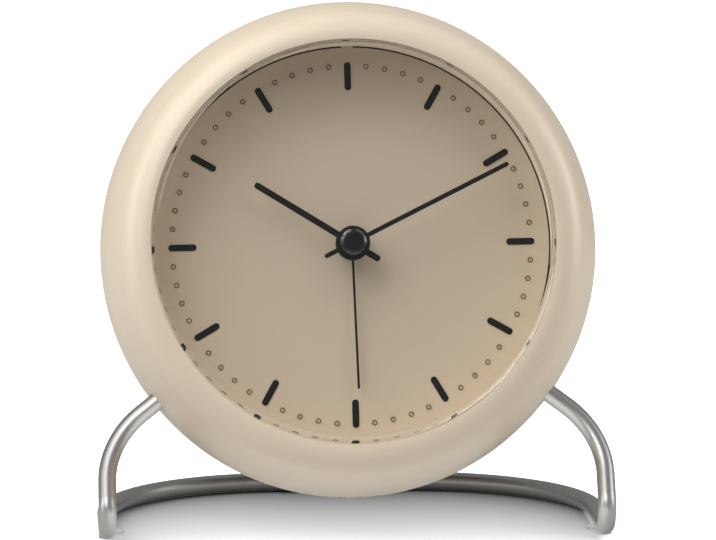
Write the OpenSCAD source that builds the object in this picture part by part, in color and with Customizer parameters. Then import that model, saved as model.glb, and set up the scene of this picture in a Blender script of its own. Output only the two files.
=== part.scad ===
// Table clock: a spherical case that leans back in a stand bent from one steel rod.
// Units are millimetres. +Z is up, the dial faces -Y, and the origin is the middle of the
// object's bounding box on the table. Inside clock_frame() the axes are the dial's own:
// X to the right, Y up the dial, and Z out of the dial, with the dial's face at zero.

/* [Case] */
// Diameter of the sphere that the case is cut from
case_d = 110; // [80:1:160]
// Thickness of the moulded walls
wall = 2.5; // [1.5:0.1:4]
// Depth of the sphere's centre behind the dial
sphere_back = 14; // [5:0.5:25]
// Depth of the flat back behind the dial
back_depth = 46; // [38:0.5:52]
// Radius of the rounded front lip
lip_r = 6; // [3:0.5:9]
// Height of the lip's crest in front of the dial
crest_h = 11; // [8:0.5:16]
// Lean of the case, back from upright
case_tilt = 11.87; // [0:0.5:20]
// Turn of the case in its stand, seen from the front
case_turn = 0.77; // [-3:0.01:3]
// Height of the dial's centre above the rod's underside
dial_h = 63.69; // [50:0.5:90]

/* [Stand] */
// Diameter of the steel rod
rod_d = 4; // [2:0.5:6]
// Distance between the centre lines of the two legs
stand_w = 109.6; // [80:1:150]
// Distance from the dial's centre back to the rear of the loop
stand_back = 53.57; // [40:1:80]
// Distance that the corner of each foot is ahead of the dial's centre
foot_ahead = 15.25; // [5:0.5:30]
// Bend radius of the folded feet
fold_r = 4.5; // [3:0.5:10]
// Bend radius under each end of the rod
knee_r = 18.45; // [8:0.5:25]
// Bend radius of the loop's rear corners
loop_r = 40.76; // [10:1:50]
// Angle of each rod end from the bottom of the case
socket_angle = 52.56; // [30:1:80]
// Depth of the rod ends behind the dial
socket_back = 7.16; // [4:0.5:14]
// Height of the clear pads under the rod
pad_h = 0.5; // [0.2:0.1:2]

/* [Dial] */
// How far the wall of the opening stands inside the middle of the lip's rounding
lip_cut = 0.824; // [0.2:0.001:3]
// Thickness of the glass
glass_t = 1.6; // [1:0.1:3]
// Height of the glass's back above the dial
glass_h = 9.2; // [8.5:0.1:12]
// Length of each hour bar
bar_len = 6.2; // [3:0.1:9]
// Width of each hour bar
bar_w = 1.45; // [0.6:0.05:3]
// Outer diameter of each minute ring
ring_d = 1.2; // [0.6:0.1:2]
// Length of the hour hand from the centre
hour_len = 25; // [15:0.5:30]
// Length of the minute hand from the centre
minute_len = 38.3; // [30:0.1:42]
// Length of the alarm hand from the centre
alarm_len = 31.8; // [20:0.1:40]

/* [Time shown] */
// Hour hand, clockwise from the top
hour_at = 302.4; // [0:0.1:360]
// Minute hand, clockwise from the top
minute_at = 64.1; // [0:0.1:360]
// Alarm hand, clockwise from the top
alarm_at = 178.7; // [0:0.1:360]

/* [Movement] */
// Width and height of the movement's housing
movement_w = 56; // [50:1:60]
// Diameter of the setting knobs
knob_d = 13; // [8:0.5:16]
// Diameter of the battery
battery_d = 14.5; // [10:0.5:15]
// Length of the battery without its terminal
battery_len = 49; // [42:0.5:50]

/* [Hidden] */
$fn = 96;
sphere_r = case_d / 2;
rod_r = rod_d / 2;
// Gap between pieces that are put together and don't move
fit = 0.1;
// Gap round an arbor or pipe that turns
run = 0.05;
// Depth that a joining solid is let into the one that it stands on
sink = 0.2;
// Reach and height of the rings that join the bends of a rod
join_len = 0.1;
join_proud = 0.01;

// Case
lip_z = crest_h - lip_r;
lip_reach = sphere_r - lip_r;
lip_ring_r = sqrt(pow(lip_reach, 2) - pow(lip_z + sphere_back, 2));
opening_r = lip_ring_r - lip_cut;
inner_r = sphere_r - wall;
bore_wall = 2;
core_z = 2;
dial_t = 0.8;
ledge_t = 2;
ledge_w = 3.3;
back_plane_r = sqrt(pow(inner_r, 2) - pow(back_depth - sphere_back, 2));
cover_t = 2.4;
cover_r = back_plane_r - 0.3;
seat_r = cover_r - 1.8;
seat_t = 2;
slot_w = 1.8;
slot_len = 10;
slot_pitch = 3.9;
slot_x = 1.2;
slot_back = 17;
boss_r = 4;
boss_len = 7;
post_in = 0.4;
socket_len = 6.5;
slot_count = 3;

// Placing: the case turns about the point of the table that is under its centre
rod_z = pad_h + rod_r;
case_z = dial_h + pad_h;
case_x = -dial_h * sin(case_turn);
front_y = -(lip_z * cos(case_tilt) + lip_ring_r * sin(case_tilt) + lip_r);
rear_y = stand_back + rod_r;
mid_y = (front_y + rear_y) / 2;

// Movement, measured forward from the dial's face
corner_r = 4;
plate_front = -4;
plate_t = 2;
housing_back = -20.6;
housing_wall = 1.6;
middle_front = -10.4;
middle_t = 1;
wheel_t = 0.8;
pinion_t = 1.2;
layer_alarm = -7.2;
layer_hour = -8.6;
layer_motion = -9.9;
layer_centre = -12.7;
layer_third = -14;
layer_fourth = -15.3;
layer_fifth = -16.6;
back_plate_in = housing_back + plate_t;
housing_in = movement_w / 2 - housing_wall;
pillar_r = 1.3;
pillar_in = 5;
pillar_at = movement_w / 2 - pillar_in;
ear_in = 3.1;
ear_at = opening_r - ear_in;
ear_from = sqrt(2) * (movement_w / 2 - corner_r);
ear_r = 2.7;
post_r = 2.7;
screw_r = 1;
screw_head_r = 1.9;
screw_head_t = 1.3;
thread_bite = 2;

// Arbors and pipes of the hands
minute_r = 0.8;
hour_pipe_in = minute_r + run;
hour_pipe_r = 1.35;
alarm_pipe_in = hour_pipe_r + run;
alarm_pipe_r = 2.1;
dial_hole_r = 2.6;
pivot_r = 0.5;
arbor_r = 0.7;
stem_r = 1.25;
post_pin_r = 0.8;
pivot_in = 1;

// Hands
hand_t = 0.4;
alarm_hand_z = 1.6;
hour_hand_z = 3.4;
minute_hand_z = 5.9;
hand_tail = 7;
alarm_hand_w = 0.5;
hour_hand_w = 1.4;
minute_hand_w = 1;
alarm_hub_r = 3.2;
hour_hub_r = 3.75;
hour_hub_top = 5.4;
minute_hub_r = 2.6;
cap_r = 3;
cap_h = 2.3;
cap_edge = 0.7;
collet_t = 1;
arbor_top = 7.6;

// Gears: teeth of each wheel and pinion
motion_module = 0.42;
cannon_teeth = 12;
motion_teeth = 36;
hour_pinion_teeth = 10;
hour_teeth = 40;
time_teeth = 20;
alarm_module = 0.5;
alarm_teeth = 60;
alarm_pinion_teeth = 16;
train_module = 0.35;
train_teeth = 60;
train_pinion_teeth = 8;
fast_module = 0.3;
fast_teeth = 64;
rotor_module = 0.25;
fifth_teeth = 48;
rotor_teeth = 12;
motion_gap = motion_module * (cannon_teeth + motion_teeth) / 2;
hour_module = 2 * motion_gap / (hour_pinion_teeth + hour_teeth);
time_gap = motion_module * (motion_teeth + time_teeth) / 2;
alarm_gap = alarm_module * (alarm_teeth + alarm_pinion_teeth) / 2;
train_gap = train_module * (train_teeth + train_pinion_teeth) / 2;
fast_gap = fast_module * (fast_teeth + train_pinion_teeth) / 2;
rotor_gap = rotor_module * (fifth_teeth + rotor_teeth) / 2;
// Share of the module that a tooth stands above its pitch circle, and sinks below it
tip_share = 0.75;
root_share = 1.2;
// Shares of the tooth pitch that a tooth fills at its tip and at its root
tip_fill = 0.2;
root_fill = 0.52;

// Directions from one arbor to the next, anticlockwise from the right
motion_dir = 15;
time_dir = 75;
alarm_dir = 133;
third_dir = -60;
fourth_dir = 200;
fifth_dir = 165;
rotor_dir = 110;
centre_at = [0, 0];
motion_at = polar(motion_gap, motion_dir);
time_at = motion_at + polar(time_gap, time_dir);
alarm_stem_at = polar(alarm_gap, alarm_dir);
third_at = polar(train_gap, third_dir);
fourth_at = third_at + polar(train_gap, fourth_dir);
fifth_at = fourth_at + polar(fast_gap, fifth_dir);
rotor_at = fifth_at + polar(rotor_gap, rotor_dir);

// Motor
magnet_r = 2.3;
magnet_t = 2.4;
magnet_back = -14.6;
stator_t = 0.8;
stator_back = -13.8;
stator_hole_r = 2.8;
stator_w = 7.6;
coil_in = 4.8;
coil_x = coil_in - housing_in;
coil_low = 3.6;
coil_len = 15;
coil_r = 2.6;
core_w = 2;
flange_t = 0.8;
flange_r = 2.9;
return_w = 1.8;
coil_room = 1;

// Circuit board
board_w = 14;
board_h = 19;
board_t = 0.8;
board_in = 9.4;
board_x = housing_in - board_in;
board_y = -11.8;
board_back = -17.3;
crystal_r = 1;
crystal_len = 6;
chip_r = 2.6;
chip_h = 0.9;

// Buzzer
buzzer_r = 9;
buzzer_t = 4.5;
buzzer_in = 3.5;
buzzer_y = buzzer_in - inner_r;
cup_wall = 1.2;
cup_h = 3.5;
step_r = 6.5;
step_h = 1;

// Battery tray, door and contacts
tray_y = -14;
tray_wall = 1.2;
battery_gap = 0.6;
battery_z = -36.5;
contact_room = 3.2;
tray_w = battery_len + 2 * contact_room;
tray_h = battery_d + 2 * battery_gap;
tray_front = battery_z + battery_d / 2 + battery_gap;
nub_r = 2.7;
nub_h = 1.3;
door_t = 1.5;
door_lip = 1.6;
door_gap = 0.25;
door_w = tray_w + 2 * door_lip;
door_h = tray_h + 2 * door_lip;
grip_w = 14;
grip_t = 0.8;
door_step_t = 0.5;
grip_h = 0.8;
grip_room = 1;
contact_t = 0.4;
contact_w = 9;
tab_w = 3;
tab_len = 3.4;

// Knobs and switch on the back
knob_h = 5;
knob_gap = 0.6;
knob_grooves = 24;
groove_r = 0.5;
knob_dish_r = 3.6;
knob_dish = 0.8;
stem_hole_r = stem_r + 0.25;
switch_y = 29;
switch_travel = 4;
switch_w = 5;
switch_h = 4;
switch_knob_h = 2;
switch_slot_h = 2.2;
switch_flange = 1.2;
switch_flange_t = 1;

// Cover screws
cover_screws = 4;
cover_screw_in = 2.9;
cover_screw_at = cover_r - cover_screw_in;
cover_screw_dir = 20;
cover_head_r = 2.2;
cover_head_t = 1.4;
cover_screw_len = 5;
cross_w = 0.5;
cross_depth = 0.5;

// Leads
lead_r = 0.45;
lead_bend = 2;
lead_low = -32;
lead_z = -24.6;
lead_pitch = 2.4;
lead_board_z = board_back - lead_r;

// Dial marks
print_t = 0.12;
bar_in = 4.1;
ring_in = 4.9;
dial_in = 1;
spacer_w = 0.8;
hours = 12;
minutes = 60;
bar_outer_r = opening_r - bar_in;
ring_at_r = opening_r - ring_in;
ring_line = 0.25;
dial_r = opening_r - dial_in;
dial_tab_w = 2.6;
ring_inner_r = opening_r - spacer_w;
shoulder_w = 3;

// Pads
pad_r = 2.8;
pad_wrap = 1.1;
pad_in = 0.9;
rear_pad_x = 12;
front_pad_y = 3.6;

case_sand = [0.84, 0.77, 0.67];
dial_sand = [0.76, 0.69, 0.59];
steel = [0.62, 0.6, 0.57];
print_black = [0.06, 0.06, 0.06];
brass = [0.78, 0.62, 0.3];
plastic_grey = [0.35, 0.35, 0.36];
plastic_natural = [0.85, 0.84, 0.8];
copper = [0.72, 0.4, 0.2];
clear = [0.85, 0.9, 0.9, 0.35];

// Frames and small helpers

function polar(distance, angle) = distance * [cos(angle), sin(angle)];
function unit(v) = v / norm(v);
function on_case(angle, distance, z) = let (
        x = distance * sin(angle),
        y = -distance * cos(angle)
    ) [
        case_x + x,
        y * sin(case_tilt) - z * cos(case_tilt),
        case_z + y * cos(case_tilt) + z * sin(case_tilt)
    ];

module object_frame() {
    translate([0, -mid_y, 0]) children();
}

module clock_frame() {
    object_frame()
        translate([case_x, 0, case_z])
            rotate([90 - case_tilt, 0, 0])
                rotate([0, 0, case_turn])
                    children();
}

module at(place, z = 0) {
    translate([place[0], place[1], z]) children();
}

// A disc or tube that reaches from z = low up to z = high
module disc(r, low, high) {
    translate([0, 0, low]) cylinder(r = r, h = high - low);
}

module tube(outer, inner, low, high) {
    difference() {
        disc(outer, low, high);
        disc(inner, low - sink, high + sink);
    }
}

module slab(w, h, low, high) {
    translate([-w / 2, -h / 2, low]) cube([w, h, high - low]);
}

module rounded_slab(w, h, r, low, high) {
    translate([0, 0, low])
        linear_extrude(high - low)
            union() {
                square([w - 2 * r, h], center = true);
                square([w, h - 2 * r], center = true);
                for (x = [-1, 1], y = [-1, 1])
                    translate([x * (w / 2 - r), y * (h / 2 - r)]) circle(r);
            }
}

// Round rod along a path of corner points. Each corner has a bend radius; the first and last are
// zero. A straight piece joins each bend to the next.
function bend_angle(p, i) = acos(unit(p[i] - p[i - 1]) * unit(p[i + 1] - p[i]));
function set_back(p, bends, i) =
    bends[i] == 0 ? 0 : bends[i] * tan(bend_angle(p, i) / 2);

module bent_rod(p, bends, r) {
    for (i = [0 : len(p) - 2]) {
        go = unit(p[i + 1] - p[i]);
        start = p[i] + go * set_back(p, bends, i);
        end = p[i + 1] - go * set_back(p, bends, i + 1);
        rod_straight(start, end, r);
        // A ring that is a hair proud joins each bend to its straight piece as one solid
        if (i > 0) rod_straight(start - go * join_len, start + go * join_len, r + join_proud);
        if (i < len(p) - 2) rod_straight(end - go * join_len, end + go * join_len, r + join_proud);
    }
    for (i = [1 : len(p) - 2])
        rod_bend(p[i - 1], p[i], p[i + 1], bends[i], bend_angle(p, i), r);
}

module rod_straight(a, b, r) {
    along = unit(b - a);
    side = unit(cross(abs(along[2]) > 0.9 ? [1, 0, 0] : [0, 0, 1], along));
    up = cross(along, side);
    multmatrix([
        [side[0], up[0], along[0], a[0]],
        [side[1], up[1], along[1], a[1]],
        [side[2], up[2], along[2], a[2]]
    ])
        cylinder(r = r, h = norm(b - a));
}

// The bend's plane holds both directions. Its X axis points from the bend's centre to where the
// bend starts, and its Y axis is the direction of travel there.
module rod_bend(before, corner, after, bend, angle, r) {
    go = unit(corner - before);
    axis = unit(cross(go, after - corner));
    out = cross(go, axis);
    centre = corner - go * bend * tan(angle / 2) - out * bend;
    multmatrix([
        [out[0], go[0], axis[0], centre[0]],
        [out[1], go[1], axis[1], centre[1]],
        [out[2], go[2], axis[2], centre[2]]
    ])
        rotate_extrude(angle = angle)
            translate([bend, 0]) circle(r);
}

// Gear blank with straight-sided teeth. A tooth points along +X before the turn.
function tooth_points(teeth, pitch_r, tip_r, root_r) = [
    for (i = [0 : teeth - 1], corner = [-2, -1, 1, 2])
        polar(
            abs(corner) == 2 ? root_r : tip_r,
            360 / teeth * (i + (corner < 0 ? -1 : 1) * (abs(corner) == 2 ? root_fill : tip_fill) / 2)
        )
];

module gear(teeth, size, thickness) {
    pitch_r = teeth * size / 2;
    linear_extrude(thickness)
        polygon(tooth_points(teeth, pitch_r, pitch_r + size * tip_share, pitch_r - size * root_share));
}

// Turn that puts a gap of a gear with an even number of teeth towards a mating tooth
function half_tooth(teeth) = 180 / teeth;

// Turn of the second gear that meshes it with the first, when its arbor lies in direction dir
// and the first gear is turned by turned
function mesh_turn(teeth_a, turned, teeth_b, dir) =
    dir + 180 + half_tooth(teeth_b) - (turned - dir) * teeth_a / teeth_b;

turn_cannon = 0;
turn_motion = mesh_turn(cannon_teeth, turn_cannon, motion_teeth, motion_dir);
turn_motion_pinion = turn_motion;
turn_hour = mesh_turn(hour_pinion_teeth, turn_motion_pinion, hour_teeth, motion_dir + 180);
turn_time = mesh_turn(motion_teeth, turn_motion, time_teeth, time_dir);
turn_alarm = 0;
turn_alarm_stem = mesh_turn(alarm_teeth, turn_alarm, alarm_pinion_teeth, alarm_dir);
turn_centre = 0;
turn_third = mesh_turn(train_teeth, turn_centre, train_pinion_teeth, third_dir);
turn_fourth = mesh_turn(train_teeth, turn_third, train_pinion_teeth, fourth_dir);
turn_fifth = mesh_turn(fast_teeth, turn_fourth, train_pinion_teeth, fifth_dir);
turn_rotor = mesh_turn(fifth_teeth, turn_fifth, rotor_teeth, rotor_dir);

// Wheel with its pinion on one arbor, between two pivots
module train_wheel(teeth, size, layer, pinion_size, pinion_layer, turned, low, high) {
    rotate([0, 0, turned]) {
        translate([0, 0, layer]) gear(teeth, size, wheel_t);
        translate([0, 0, layer + wheel_t - sink])
            gear(train_pinion_teeth, pinion_size, pinion_layer + pinion_t - layer - wheel_t + sink);
    }
    disc(arbor_r, low, high);
    disc(pivot_r, low - pivot_in, high + pivot_in);
}

// Case

module case_profile() {
    difference() {
        union() {
            intersection() {
                translate([0, -sphere_back]) circle(sphere_r, $fn = 256);
                translate([0, -back_depth]) square([sphere_r, back_depth + crest_h]);
                // Cut along the line through the centres of the sphere and the lip
                polygon([
                    [0, -sphere_back],
                    [2 * lip_ring_r, 2 * (lip_z + sphere_back) - sphere_back],
                    [2 * sphere_r, -back_depth],
                    [0, -back_depth]
                ]);
            }
            translate([lip_ring_r, lip_z]) circle(lip_r);
        }
        translate([0, -dial_t]) square([opening_r, crest_h + dial_t + sink]);
        case_hollow();
        translate([0, -back_depth - sink]) square([cover_r + fit, cover_t + sink]);
    }
}

// Inside of the case: the inner sphere up to the thick front, less the wall round the bore, the
// ledge that the dial lies on, and the seat of the rear cover
module case_hollow() {
    difference() {
        intersection() {
            translate([0, -sphere_back]) circle(inner_r, $fn = 256);
            translate([0, -back_depth - sink]) square([sphere_r, back_depth + core_z + sink]);
        }
        translate([opening_r - ledge_w, -dial_t - ledge_t])
            square([ledge_w + bore_wall, core_z + dial_t + ledge_t + sink]);
        translate([seat_r, -back_depth + cover_t]) square([sphere_r, seat_t]);
    }
    translate([0, -dial_t - ledge_t - sink]) square([opening_r - ledge_w, ledge_t + 2 * sink]);
}

module case_shell() {
    color(case_sand)
        clock_frame()
            difference() {
                union() {
                    rotate_extrude($fn = 256) case_profile();
                    movement_posts();
                    cover_posts();
                    intersection() {
                        sockets();
                        translate([0, 0, -sphere_back]) sphere(inner_r + sink, $fn = 256);
                    }
                    intersection() {
                        buzzer_cup();
                        translate([0, 0, -sphere_back]) sphere(inner_r + sink, $fn = 256);
                    }
                }
                socket_bores();
                sound_slots();
                for (i = [0 : 3])
                    rotate([0, 0, 45 + 90 * i])
                        translate([ear_at, 0, 0])
                            disc(screw_r - fit, plate_front - sink, plate_front + thread_bite + fit);
                for (i = [0 : cover_screws - 1])
                    rotate([0, 0, cover_screw_dir + 360 / cover_screws * i])
                        translate([cover_screw_at, 0, -back_depth + cover_t])
                            cylinder(r = screw_r - fit, h = 2 * cover_screw_len, center = true);
            }
}

// Posts behind the ledge, for the ears of the movement
module movement_posts() {
    for (i = [0 : 3])
        rotate([0, 0, 45 + 90 * i])
            translate([ear_at, 0, 0])
                disc(post_r, plate_front, -dial_t - sink);
}

module cover_posts() {
    for (i = [0 : cover_screws - 1])
        rotate([0, 0, cover_screw_dir + 360 / cover_screws * i])
            translate([cover_screw_at, 0, 0])
                disc(post_r, -back_depth + cover_t + post_in, -back_depth + cover_t + boss_len);
}

module socket_place(side) {
    rotate([0, 0, side * socket_angle])
        translate([0, 0, -socket_back])
            rotate([90, 0, 0])
                children();
}

// Blind sockets for the ends of the rod, in bosses on the inside of the wall
module sockets() {
    for (side = [-1, 1])
        socket_place(side)
            disc(boss_r, sphere_r - wall - socket_len, sphere_r);
}

module socket_bores() {
    for (side = [-1, 1])
        socket_place(side)
            disc(rod_r + fit / 2, sphere_r - wall - socket_len + bore_wall, sphere_r + boss_r);
}

// Cup on the inside of the case's wall that holds the buzzer over the sound slots
module buzzer_cup() {
    translate([slot_x, 0, -slot_back])
        rotate([90, 0, 0])
            difference() {
                disc(buzzer_r + fit + cup_wall, -buzzer_y - cup_h, sphere_r);
                disc(buzzer_r + fit, -buzzer_y - cup_h - sink, -buzzer_y);
                disc(buzzer_r - cup_wall, -buzzer_y - sink, sphere_r + sink);
            }
}

module sound_slots() {
    for (i = [0 : slot_count - 1])
        translate([slot_x + (i - (slot_count - 1) / 2) * slot_pitch, -sphere_r - sink, -slot_back])
            rotate([-90, 0, 0])
                linear_extrude(2 * wall + 1)
                    union() {
                        square([slot_w, slot_len - slot_w], center = true);
                        for (end = [-1, 1])
                            translate([0, end * (slot_len - slot_w) / 2]) circle(slot_w / 2);
                    }
}

// Stand

// Point where a rod end's own line reaches the plane of its leg
function knee(side) = on_case(
    side * socket_angle + case_turn,
    (stand_w / 2 - side * case_x) / sin(socket_angle + side * case_turn),
    -socket_back
);
function rod_end(side) =
    on_case(side * socket_angle + case_turn, sphere_r - wall - socket_len + bore_wall + fit, -socket_back);
function foot(side) = [side * stand_w / 2, -foot_ahead, rod_z];
function loop_corner(side) = [side * stand_w / 2, stand_back, rod_z];

rod_path = [
    rod_end(-1), knee(-1), foot(-1), loop_corner(-1),
    loop_corner(1), foot(1), knee(1), rod_end(1)
];
rod_bends = [0, knee_r, fold_r, loop_r, loop_r, fold_r, knee_r, 0];

module stand_rod() {
    color(steel)
        object_frame()
            bent_rod(rod_path, rod_bends, rod_r);
}

// Clear pads: each is a low disc with the rod pressed into its top
module foot_pads() {
    front_y = set_back(rod_path, rod_bends, 2) - foot_ahead + front_pad_y;
    color(clear)
        object_frame()
            difference() {
                for (side = [-1, 1]) {
                    at([side * (stand_w / 2 - pad_in), front_y]) disc(pad_r, 0, pad_h + pad_wrap);
                    at([side * rear_pad_x, stand_back - pad_in]) disc(pad_r, 0, pad_h + pad_wrap);
                }
                bent_rod(rod_path, rod_bends, rod_r);
            }
}

// Front

// Clear disc, flat on both faces, with a rounded shoulder at its rim
module glass() {
    edge_r = opening_r - fit;
    shoulder_r = (pow(shoulder_w, 2) + pow(glass_t / 2, 2)) / glass_t;
    color(clear)
        clock_frame()
            translate([0, 0, glass_h])
                rotate_extrude()
                    union() {
                        square([edge_r - shoulder_w, glass_t]);
                        intersection() {
                            translate([edge_r - shoulder_w, 0]) square([shoulder_w, glass_t]);
                            translate([edge_r - shoulder_w, glass_t - shoulder_r]) circle(shoulder_r);
                        }
                    }
}

module dial_ring() {
    color(case_sand)
        clock_frame()
            tube(opening_r - fit, ring_inner_r, 0, glass_h);
}

// Painted disc with a narrow tab at the top, on the ledge of the case
module dial_plate() {
    color(dial_sand)
        clock_frame()
            difference() {
                union() {
                    disc(dial_r, -dial_t, 0);
                    translate([-dial_tab_w / 2, dial_r - sink, -dial_t])
                        cube([dial_tab_w, opening_r - fit - dial_r, dial_t]);
                    disc(opening_r - fit, -dial_t, -dial_t / 2);
                }
                disc(dial_hole_r, -dial_t - sink, sink);
            }
}

module hour_bars() {
    color(print_black)
        clock_frame()
            for (i = [0 : hours - 1])
                rotate([0, 0, -360 / hours * i])
                    linear_extrude(print_t)
                        union() {
                            translate([-bar_w / 2, bar_outer_r - bar_len + bar_w / 2])
                                square([bar_w, bar_len - bar_w]);
                            for (end = [0, 1])
                                translate([0, bar_outer_r - bar_w / 2 - end * (bar_len - bar_w)])
                                    circle(bar_w / 2, $fn = 32);
                        }
}

module minute_rings() {
    color(print_black)
        clock_frame()
            for (i = [0 : minutes - 1])
                if (i % (minutes / hours) != 0)
                    rotate([0, 0, -360 / minutes * i])
                        translate([0, ring_at_r, 0])
                            difference() {
                                cylinder(d = ring_d, h = print_t, $fn = 32);
                                translate([0, 0, -sink])
                                    cylinder(d = ring_d - 2 * ring_line, h = 1, $fn = 32);
                            }
}

// Straight hand that points up the dial: a flat strip with round ends, and a round hub
module hand(length, tail, w, hub_r, z) {
    translate([-w / 2, w / 2 - tail, z]) cube([w, length + tail - w, hand_t]);
    for (end = [length - w / 2, w / 2 - tail])
        translate([0, end, 0]) disc(w / 2, z, z + hand_t);
    disc(hub_r, z, z + hand_t);
}

module alarm_hand() {
    color(print_black)
        clock_frame()
            rotate([0, 0, -alarm_at])
                difference() {
                    union() {
                        hand(alarm_len, 0, alarm_hand_w, alarm_hub_r, alarm_hand_z);
                        disc(alarm_hub_r - 0.4, alarm_hand_z - collet_t, alarm_hand_z + hand_t);
                    }
                    disc(alarm_pipe_r, 0, alarm_hand_z + 1);
                }
}

module hour_hand() {
    color(print_black)
        clock_frame()
            rotate([0, 0, -hour_at])
                difference() {
                    union() {
                        hand(hour_len, hand_tail, hour_hand_w, hour_hub_r, hour_hand_z);
                        disc(hour_hub_r - 1, hour_hand_z - collet_t, hour_hand_z);
                        disc(hour_hub_r, hour_hand_z, hour_hub_top);
                    }
                    disc(hour_pipe_r, 0, hour_hub_top + sink);
                }
}

module minute_hand() {
    color(print_black)
        clock_frame()
            rotate([0, 0, -minute_at])
                difference() {
                    union() {
                        hand(minute_len, hand_tail, minute_hand_w, minute_hub_r, minute_hand_z);
                        disc(minute_hub_r - 0.8, hour_hub_top + fit, minute_hand_z + hand_t);
                    }
                    disc(minute_r, 0, minute_hand_z + 1);
                }
}

// Round cap with a dome, over the end of the minute arbor
module hand_cap() {
    dome_r = (pow(cap_r, 2) + pow(cap_h - cap_edge, 2)) / (2 * (cap_h - cap_edge));
    low = minute_hand_z + hand_t;
    color(print_black)
        clock_frame()
            difference() {
                intersection() {
                    disc(cap_r, low, low + cap_h);
                    translate([0, 0, low + cap_h - dome_r]) sphere(dome_r);
                }
                disc(minute_r, low - sink, arbor_top);
            }
}

// Motion work

module minute_arbor() {
    color(steel)
        clock_frame() {
            disc(minute_r, back_plate_in - pivot_in, arbor_top);
            translate([0, 0, layer_motion - sink])
                rotate([0, 0, turn_cannon])
                    gear(cannon_teeth, motion_module, pinion_t);
        }
}

module hour_wheel() {
    color(plastic_natural)
        clock_frame()
            difference() {
                union() {
                    translate([0, 0, layer_hour])
                        rotate([0, 0, turn_hour]) gear(hour_teeth, hour_module, wheel_t);
                    disc(hour_pipe_r, layer_hour, hour_hub_top);
                }
                disc(hour_pipe_in, layer_hour - sink, hour_hub_top + sink);
            }
}

module motion_wheel() {
    color(plastic_natural)
        clock_frame()
            at(motion_at)
                difference() {
                    union() {
                        translate([0, 0, layer_motion])
                            rotate([0, 0, turn_motion]) gear(motion_teeth, motion_module, wheel_t);
                        translate([0, 0, layer_motion + wheel_t - sink])
                            rotate([0, 0, turn_motion_pinion])
                                gear(hour_pinion_teeth, hour_module, pinion_t + 2 * sink);
                    }
                    disc(post_pin_r + run, layer_motion - sink, layer_alarm);
                }
}

module stem(place, teeth, size, layer, turned) {
    at(place) {
        translate([0, 0, layer - sink]) rotate([0, 0, turned]) gear(teeth, size, pinion_t);
        disc(stem_r, -back_depth - knob_gap - knob_h + bore_wall, layer);
        disc(stem_r, layer, plate_front - plate_t - sink);
        disc(pivot_r, layer, plate_front - plate_t + pivot_in);
    }
}

module time_stem() {
    color(steel)
        clock_frame()
            stem(time_at, time_teeth, motion_module, layer_motion, turn_time);
}

module alarm_stem() {
    color(steel)
        clock_frame()
            stem(alarm_stem_at, alarm_pinion_teeth, alarm_module, layer_alarm, turn_alarm_stem);
}

// Knob with grooves round its side and a shallow dish in its end, pressed on a stem
module knob(place) {
    high = -back_depth - knob_gap;
    at(place)
        difference() {
            disc(knob_d / 2, high - knob_h, high);
            disc(knob_dish_r, high - knob_h - sink, high - knob_h + knob_dish);
            disc(stem_r, high - knob_h + bore_wall, high + sink);
            for (i = [0 : knob_grooves - 1])
                rotate([0, 0, 360 / knob_grooves * i])
                    translate([knob_d / 2 + groove_r / 4, 0, 0])
                        disc(groove_r, high - knob_h - sink, high - knob_dish);
        }
}

module time_knob() {
    color(plastic_grey) clock_frame() knob(time_at);
}

module alarm_knob() {
    color(plastic_grey) clock_frame() knob(alarm_stem_at);
}

module alarm_wheel() {
    color(plastic_natural)
        clock_frame()
            difference() {
                union() {
                    translate([0, 0, layer_alarm])
                        rotate([0, 0, turn_alarm]) gear(alarm_teeth, alarm_module, wheel_t);
                    disc(alarm_pipe_r, layer_alarm, alarm_hand_z + hand_t);
                }
                disc(alarm_pipe_in, layer_alarm - sink, alarm_hand_z + 1);
            }
}

// Going train

// Wheel that the train drives. It turns on the minute arbor, which slips when the time is set.
module centre_wheel() {
    color(brass)
        clock_frame()
            difference() {
                union() {
                    translate([0, 0, layer_centre])
                        rotate([0, 0, turn_centre]) gear(train_teeth, train_module, wheel_t);
                    disc(2 * minute_r, layer_centre - sink, middle_front - middle_t - fit);
                }
                disc(minute_r + run, layer_centre - 1, middle_front);
            }
}

module third_wheel() {
    color(brass)
        clock_frame()
            at(third_at)
                train_wheel(
                    train_teeth, train_module, layer_third, train_module, layer_centre - sink,
                    turn_third, back_plate_in + fit, middle_front - middle_t - fit
                );
}

module fourth_wheel() {
    color(plastic_natural)
        clock_frame()
            at(fourth_at)
                train_wheel(
                    fast_teeth, fast_module, layer_fourth, train_module, layer_third - sink,
                    turn_fourth, back_plate_in + fit, middle_front - middle_t - fit
                );
}

module fifth_wheel() {
    color(plastic_natural)
        clock_frame()
            at(fifth_at)
                train_wheel(
                    fifth_teeth, rotor_module, layer_fifth, fast_module, layer_fourth - sink,
                    turn_fifth, back_plate_in + fit, middle_front - middle_t - fit
                );
}

// Round magnet and pinion on one arbor
module rotor() {
    color(plastic_grey)
        clock_frame()
            at(rotor_at) {
                disc(magnet_r, magnet_back, magnet_back + magnet_t);
                translate([0, 0, layer_fifth - sink])
                    rotate([0, 0, turn_rotor]) gear(rotor_teeth, rotor_module, pinion_t);
                disc(arbor_r, back_plate_in + fit, middle_front - middle_t - fit);
                disc(pivot_r, back_plate_in + fit - pivot_in, middle_front - middle_t - fit + pivot_in);
            }
}

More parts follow.
